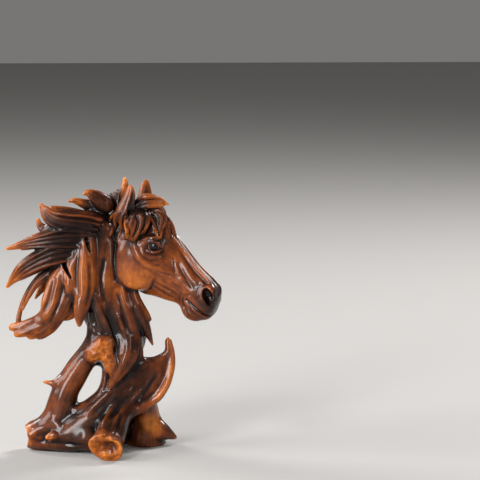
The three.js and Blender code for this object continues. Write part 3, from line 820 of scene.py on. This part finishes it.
def main_piece(points, *faces):
    """The largest connected piece, without crumbs that hang on to nothing."""
    label = np.arange(len(points))
    a, b = np.vstack([some[:, [i, i - 1]] for some in faces for i in range(some.shape[1])]).T
    while (label[a] != label[b]).any():
        least = np.minimum(label[a], label[b])
        np.minimum.at(label, a, least)
        np.minimum.at(label, b, least)
        label = label[label]
    kept = label == np.bincount(label).argmax()
    place = np.cumsum(kept) - 1
    return points[kept], *[place[some[kept[some[:, 0]]]] for some in faces]


def surface():
    """The field's surface as a mesh in drawn millimetres, with few enough triangles."""
    grid = openvdb.FloatGrid(FAR)
    grid.transform = openvdb.createLinearTransform(VOXEL)
    grid.copyFromArray(field, ijk=tuple(int(i) for i in CORNER), tolerance=1e-4)
    points, triangles, quads = grid.convertToPolygons(isovalue=0, adaptivity=0)
    points, triangles, quads = main_piece(points, triangles, quads)
    mesh = bpy.data.meshes.new("horse_head_cast")
    mesh.from_pydata(points.tolist(), [], [*triangles.tolist(), *quads.tolist()])
    triangle_count = len(triangles) + 2 * len(quads)
    if triangle_count > MOST_TRIANGLES:
        item = bpy.data.objects.new("thinning", mesh)
        bpy.context.scene.collection.objects.link(item)
        item.modifiers.new("thin", "DECIMATE").ratio = MOST_TRIANGLES / triangle_count
        item = item.evaluated_get(bpy.context.evaluated_depsgraph_get())
        mesh = bpy.data.meshes.new_from_object(item)
        bpy.data.objects.remove(bpy.data.objects["thinning"])
    mesh.name = "horse_head_cast"
    return mesh


def vertex_array(mesh, name="co"):
    values = np.empty(3 * len(mesh.vertices), np.float32)
    mesh.vertices.foreach_get(name, values)
    return values.reshape(-1, 3)


def blurred(grid, reach):
    """The grid averaged over a box that reaches so many cells each way, twice."""
    edge = 2 * reach + 2
    grid = np.pad(grid, edge)
    for axis in (0, 1, 2, 0, 1, 2):
        total = np.cumsum(grid, axis=axis, dtype=np.float32)
        grid = (np.roll(total, -reach, axis) - np.roll(total, reach + 1, axis)) / (2 * reach + 1)
    return grid[edge:-edge, edge:-edge, edge:-edge]


def hollowness(points, reach):
    """How much of the space around each point is filled: 0 on a flat place, above it in a hollow.

    Below the ground it counts as half filled, so surfaces near the floor come out darker: painted contact
    shade.
    """
    filled = np.clip(0.5 - field[::2, ::2, ::2] / (2 * VOXEL), 0, 1)
    filled[:, :, : int(-CORNER[2] // 2)] = 0.5
    cells = max(int(round(reach / (2 * VOXEL))), 1)
    return 2 * sample(blurred(filled, cells), points, 2) - 1


def noise(points, size, seed):
    """Smooth random values from -1 to 1, in lumps of about size."""
    lattice = np.random.default_rng(seed).uniform(-1, 1, (LATTICE, LATTICE, LATTICE))
    place = points / size
    low = np.floor(place).astype(int)
    share = place - low
    share = share * share * (3 - 2 * share)
    value = 0
    for corner in np.ndindex(2, 2, 2):
        weight = np.prod(np.where(corner, share, 1 - share), axis=1)
        value = value + weight * lattice[tuple(((low + corner) % LATTICE).T)]
    return value


def near(points, centre, radius):
    return np.exp(-(((points - np.array(centre)) ** 2).sum(1)) / radius**2)


def rawness(points):
    return np.clip(sum(near(points, centre, radius) for centre, radius in RAW), 0, 1)


def spread(mesh, values, times):
    """Evens out values between neighbouring vertices."""
    ends = np.empty(2 * len(mesh.edges), np.int32)
    mesh.edges.foreach_get("vertices", ends)
    a, b = ends.reshape(-1, 2).T
    count = np.bincount(a, minlength=len(values)) + np.bincount(b, minlength=len(values)) + 1
    for _ in range(times):
        total = values + np.bincount(a, values[b], len(values)) + np.bincount(b, values[a], len(values))
        values = total / count
    return values


def grain_and_tone(points):
    """Where each point is across, through and along its own form, its tone there and its hairiness."""
    cell = np.rint(points / VOXEL - CORNER).astype(int)
    cell = np.clip(cell, 0, np.array(owner.shape) - 1)
    owners = owner[tuple(cell.T)]
    grain = np.zeros((len(points), 3))
    tone = np.zeros(len(points))
    hairy = np.zeros(len(points))
    chance = np.random.default_rng(SEED)
    for index, (form, finish) in enumerate(joined):
        lighter = chance.uniform(-TONE_CHANCE, TONE_CHANCE)
        mine = np.flatnonzero(owners == index)
        if not len(mine):
            continue
        own = points[mine]
        run = np.concatenate([[0], np.cumsum(np.linalg.norm(np.diff(form.centre, axis=0), axis=1))])
        gaps = ((own[:, None, :] - form.centre[None, ::2]) ** 2).sum(2)
        nearest = gaps.argmin(1) * 2
        offset = own - form.centre[nearest]
        tangent = np.cross(form.across[nearest], form.through[nearest])
        along = run[nearest] + (offset * tangent).sum(1)
        sideways = (offset * form.across[nearest]).sum(1)
        outwards = (offset * form.through[nearest]).sum(1)
        grain[mine] = np.stack([sideways, outwards, along + GRAIN_STEP * index], 1)
        share = np.clip(along / run[-1], 0, 1)
        *tones, hairiness = FINISHES[finish]
        tone[mine] = np.interp(share, TONE_STOPS, tones) + lighter
        hairy[mine] = hairiness
    # Lighter and darker patches: the casting's own paint, and some painted shade.
    for centre, radius, amount in PAINT_AND_SHADE_PATCHES:
        tone += amount * near(points, centre, radius)
    return grain, tone, hairy


def add_measure(mesh, name, kind, values):
    """Keeps a value for each vertex, for the paint to read."""
    data = mesh.attributes.new(name, kind, "POINT").data
    data.foreach_set("value" if kind == "FLOAT" else "vector", values.astype(np.float32).ravel())


def casting():
    mesh = surface()
    mesh.polygons.foreach_set("use_smooth", [True] * len(mesh.polygons))
    points = vertex_array(mesh)
    normals = vertex_array(mesh, "normal")
    raw = rawness(points)
    grain, tone, hairy = grain_and_tone(points)
    tone = spread(mesh, tone, TONE_EVENING)
    hairy = spread(mesh, hairy, HAIR_EVENING)
    fine, broad = (hollowness(points, reach) for reach in CAVITY_REACHES)
    rough = sum(high * noise(points, size, SEED + 1 + i) for i, (high, size) in enumerate(RAW_LUMPS))
    lumps = WAVE_HEIGHT * noise(points, WAVE_SIZE, SEED) + raw * rough
    lifted = points + normals * lumps[:, None]
    lifted[:, 2] = np.maximum(lifted[:, 2], 0)
    mesh.vertices.foreach_set("co", ((lifted - DRAWN_MIDDLE) * MM).astype(np.float32).ravel())
    measures = {"tone": tone, "hairy": hairy, "fine_hollow": fine, "broad_hollow": broad, "raw": raw}
    for name, values in measures.items():
        add_measure(mesh, name, "FLOAT", values)
    add_measure(mesh, "grain", "FLOAT_VECTOR", grain)
    item = bpy.data.objects.new("horse_head_cast", mesh)
    bpy.context.scene.collection.objects.link(item)
    return item


# The glaze

NOISE_ROUGHNESS = 0.55


class Paint:
    """A material's nodes, made by short calls."""

    def __init__(self, name):
        self.material = bpy.data.materials.new(name)
        self.material.use_nodes = True
        self.tree = self.material.node_tree
        self.shader = self.tree.nodes["Principled BSDF"]

    def node(self, kind, *inputs, **settings):
        node = self.tree.nodes.new(kind)
        for name, value in settings.items():
            setattr(node, name, value)
        for socket, value in zip(node.inputs, inputs):
            self.feed(socket, value)
        return node

    def feed(self, socket, value):
        if isinstance(value, bpy.types.NodeSocket):
            self.tree.links.new(value, socket)
        elif value is not None:
            socket.default_value = value

    def math(self, operation, a, b=None, c=None):
        return self.node("ShaderNodeMath", a, b, c, operation=operation).outputs[0]

    def sum(self, value, amount, rest):
        """So much of the value, added to the rest."""
        return self.math("MULTIPLY_ADD", value, amount, rest)

    def attribute(self, name, output="Fac"):
        return self.node("ShaderNodeAttribute", attribute_name=name).outputs[output]

    def noise(self, vector, scale, detail=3.0):
        node = self.node("ShaderNodeTexNoise")
        self.feed(node.inputs["Vector"], vector)
        node.inputs["Scale"].default_value = scale
        node.inputs["Detail"].default_value = detail
        node.inputs["Roughness"].default_value = NOISE_ROUGHNESS
        return node.outputs["Fac"]

    def scaled(self, vector, factors):
        return self.node("ShaderNodeVectorMath", vector, factors, operation="MULTIPLY").outputs[0]

    def ramp(self, value, stops):
        node = self.node("ShaderNodeValToRGB", value)
        elements = node.color_ramp.elements
        while len(elements) < len(stops):
            elements.new(1.0)
        for element, (place, color) in zip(elements, stops):
            element.position = place
            element.color = (*color, 1)
        return node.outputs["Color"]

    def between(self, value, low, high):
        """0 at low, 1 at high, and smooth in between. Low may be the larger."""
        node = self.node("ShaderNodeMapRange", interpolation_type="SMOOTHSTEP")
        self.feed(node.inputs["Value"], value)
        node.inputs["From Min"].default_value = low
        node.inputs["From Max"].default_value = high
        return node.outputs["Result"]

    def mix(self, share, a, b):
        node = self.node("ShaderNodeMix", data_type="RGBA")
        self.feed(node.inputs["Factor"], share)
        self.feed(node.inputs["A"], a)
        self.feed(node.inputs["B"], b)
        return node.outputs["Result"]


GLAZE_STOPS = [
    (0.0, (0.003, 0.0014, 0.001)),
    (0.2, (0.008, 0.0026, 0.0016)),
    (0.36, (0.032, 0.0082, 0.003)),
    (0.52, (0.12, 0.027, 0.0055)),
    (0.68, (0.28, 0.072, 0.01)),
    (0.84, (0.47, 0.145, 0.017)),
    (1.0, (0.62, 0.25, 0.04)),
]
# How the grain is stretched: across, through and along a form, in noise cells for each millimetre.
STREAKS = (0.42, 0.42, 0.035)
HAIRS = (1.7, 1.7, 0.06)
# Noise cells for each metre.
MOTTLE_SCALE = 90.0
BLOTCH_SCALE = 260.0
PIT_SCALE = 900.0
# How much darker a hollow is and how much lighter a raised place, near by and farther around. The darkening
# follows the dark glaze in the casting's hollows, and near the floor it is painted contact shade.
HOLLOWS = (("fine_hollow", -0.9, 0.26), ("broad_hollow", -0.55, 0.12))
PAINTED_EYE = (35.7, 19.1, 205.5)  # on the head, a little in front of the middle of the eye
# Where the paint of the eye begins and is full, in metres from there.
IRIS = (0.0057, 0.0053)
PUPIL = (0.0052, 0.0049)
IRIS_COLOR = (0.2, 0.05, 0.036, 1)
PUPIL_COLOR = (0.001, 0.001, 0.0012, 1)
# How far each pattern moves the tone, everywhere and on hair or rough places.
MOTTLE_AMOUNT = 0.34
STREAK_AMOUNT, STREAKS_ON_HAIR = 0.1, 0.5
HAIR_AMOUNT, HAIRS_ON_HAIR = 0.02, 0.5
BLOTCH_AMOUNT, BLOTCHES_ON_RAW = 0.12, 0.75
# The roughness under the varnish, what mottling and rough places add, and how much smoother the eye is.
ROUGHNESS, MOTTLE_ROUGHNESS, RAW_ROUGHNESS, EYE_POLISH = 0.28, 0.3, 0.15, 0.9
# How much thinner the varnish is on hair and on rough places.
HAIR_DULLNESS, RAW_DULLNESS = 0.7, 0.35
COAT_ROUGHNESS = 0.15
COAT_IOR = 1.33
SPECULAR = 0.06
# The height of the relief everywhere, and what hair and rough places add to it.
RELIEF, HAIR_RELIEF = 0.15, 1.2
PIT_RELIEF, RAW_RELIEF = 0.1, 1.2
RELIEF_STRENGTH = 0.4
RELIEF_DEPTH = 0.0012


def eye_centres():
    forward, aside, up = PAINTED_EYE
    return [(on_head(forward, side * aside, up) - DRAWN_MIDDLE) * MM for side in BOTH_SIDES]


def glaze():
    paint = Paint("glazed_resin")
    grain = paint.attribute("grain", "Vector")
    hairy = paint.attribute("hairy")
    raw = paint.attribute("raw")
    place = paint.node("ShaderNodeTexCoord").outputs["Object"]
    streaks = paint.noise(paint.scaled(grain, STREAKS), 1.0)
    hairs = paint.noise(paint.scaled(grain, HAIRS), 1.0, 2)
    mottle = paint.noise(place, MOTTLE_SCALE, 4)
    blotches = paint.noise(place, BLOTCH_SCALE, 4)
    pits = paint.noise(place, PIT_SCALE)
    tone = paint.attribute("tone")
    for pattern, amount in (
        (streaks, paint.sum(hairy, STREAKS_ON_HAIR, STREAK_AMOUNT)),
        (hairs, paint.sum(hairy, HAIRS_ON_HAIR, HAIR_AMOUNT)),
        (mottle, MOTTLE_AMOUNT),
        (blotches, paint.sum(raw, BLOTCHES_ON_RAW, BLOTCH_AMOUNT)),
    ):
        tone = paint.sum(paint.math("SUBTRACT", pattern, 0.5), amount, tone)
    for name, dark, light in HOLLOWS:
        hollow = paint.attribute(name)
        tone = paint.sum(paint.math("MAXIMUM", hollow, 0.0), dark, tone)
        tone = paint.sum(paint.math("MINIMUM", hollow, 0.0), -light, tone)
    color = paint.ramp(tone, GLAZE_STOPS)
    to_eye = None
    for centre in eye_centres():
        gap = paint.node("ShaderNodeVectorMath", place, tuple(centre), operation="DISTANCE").outputs["Value"]
        to_eye = gap if to_eye is None else paint.math("MINIMUM", to_eye, gap)
    iris = paint.between(to_eye, *IRIS)
    color = paint.mix(iris, color, IRIS_COLOR)
    color = paint.mix(paint.between(to_eye, *PUPIL), color, PUPIL_COLOR)
    paint.feed(paint.shader.inputs["Base Color"], color)
    rough = paint.sum(mottle, MOTTLE_ROUGHNESS, ROUGHNESS)
    rough = paint.sum(raw, RAW_ROUGHNESS, rough)
    rough = paint.math("MULTIPLY", rough, paint.sum(iris, -EYE_POLISH, 1.0))
    paint.feed(paint.shader.inputs["Roughness"], rough)
    paint.shader.inputs["Specular IOR Level"].default_value = SPECULAR
    coat = paint.sum(hairy, -HAIR_DULLNESS, 1.0)
    paint.feed(paint.shader.inputs["Coat Weight"], paint.sum(raw, -RAW_DULLNESS, coat))
    paint.shader.inputs["Coat Roughness"].default_value = COAT_ROUGHNESS
    paint.shader.inputs["Coat IOR"].default_value = COAT_IOR
    height = paint.sum(hairs, 0.5, streaks)
    height = paint.math("MULTIPLY", height, paint.sum(hairy, HAIR_RELIEF, RELIEF))
    height = paint.sum(pits, paint.sum(raw, RAW_RELIEF, PIT_RELIEF), height)
    height = paint.math("MULTIPLY", height, paint.math("SUBTRACT", 1.0, iris))
    bump = paint.node("ShaderNodeBump")
    bump.inputs["Strength"].default_value = RELIEF_STRENGTH
    bump.inputs["Distance"].default_value = RELIEF_DEPTH
    paint.feed(bump.inputs["Height"], height)
    paint.feed(paint.shader.inputs["Normal"], bump.outputs["Normal"])
    return paint.material


# Stage, light and camera

CAMERA_ELEVATION = math.radians(9)
CAMERA_DISTANCE = 2.62
LENS = 200
SENSOR = 36
FRAME_PIXELS = 480
OBJECT_PIXEL = (112.7, 313)  # where the photograph shows the sculpture's middle
MIDDLE = Vector((0, 0, 0.135))
FLOOR_REACH = 6
FLOOR_COLOR = (0.32, 0.31, 0.3, 1)
AIR_COLOR = (0.62, 0.6, 0.58, 1)
AIR_STRENGTH = 0.3
AIM = (0, 0, 0.14)
# Each light's name, place, aim, size and power.
LIGHTS = [
    ("key", (-1.5, -2.1, 2.2), AIM, (0.6, 0.6), 46),
    ("strip", (-1.4, -2.2, 0.9), (0, 0, 0.9), (0.6, 1.76), 68),
    ("window", (-2.1, -0.4, 1.1), AIM, (1.3, 1.4), 60),
    ("back left", (-1.6, 1.1, 1.6), AIM, (0.8, 0.9), 40),
    ("back right", (1.5, 1.2, 1.8), (0.03, 0, 0.2), (0.5, 1.0), 70),
    ("fill", (1.6, -2.4, 1.0), (0, 0, 0.1), (0.6, 1.0), 12),
]


def floor():
    mesh = bpy.data.meshes.new("floor")
    r = FLOOR_REACH
    mesh.from_pydata([(-r, -r, 0), (r, -r, 0), (r, r, 0), (-r, r, 0)], [], [(0, 1, 2, 3)])
    sheet = bpy.data.objects.new("floor", mesh)
    bpy.context.scene.collection.objects.link(sheet)
    paint = Paint("floor_paint")
    paint.shader.inputs["Base Color"].default_value = FLOOR_COLOR
    paint.shader.inputs["Roughness"].default_value = 0.8
    mesh.materials.append(paint.material)


def area_light(name, at, aim, size, power):
    data = bpy.data.lights.new(name, "AREA")
    data.shape = "RECTANGLE"
    data.size, data.size_y = size
    data.energy = power
    light = bpy.data.objects.new(name, data)
    light.location = at
    light.rotation_euler = (Vector(aim) - Vector(at)).to_track_quat("-Z", "Y").to_euler()
    bpy.context.scene.collection.objects.link(light)


def camera():
    data = bpy.data.cameras.new("camera")
    data.lens = LENS
    data.sensor_width = SENSOR
    item = bpy.data.objects.new("camera", data)
    out = Vector((0, -math.cos(CAMERA_ELEVATION), math.sin(CAMERA_ELEVATION)))
    item.location = MIDDLE + out * CAMERA_DISTANCE
    focal = LENS / SENSOR * FRAME_PIXELS
    yaw = math.atan((FRAME_PIXELS / 2 - OBJECT_PIXEL[0]) / focal)
    pitch = math.atan((OBJECT_PIXEL[1] - FRAME_PIXELS / 2) / focal)
    item.rotation_euler = (math.pi / 2 - CAMERA_ELEVATION + pitch, 0, -yaw)
    bpy.context.scene.collection.objects.link(item)
    bpy.context.scene.camera = item


def world():
    bpy.context.scene.view_settings.view_transform = "Standard"
    studio = bpy.data.worlds.new("studio")
    studio.use_nodes = True
    air = studio.node_tree.nodes["Background"]
    air.inputs["Color"].default_value = AIR_COLOR
    air.inputs["Strength"].default_value = AIR_STRENGTH
    bpy.context.scene.world = studio


neck()
apart(head, 0.8)
hair()
ears()
roots()
flatten_base()
cast = casting()
cast.data.materials.append(glaze())
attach(cast, "root")
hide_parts("horse_head")
floor()
for light in LIGHTS:
    area_light(*light)
camera()
world()
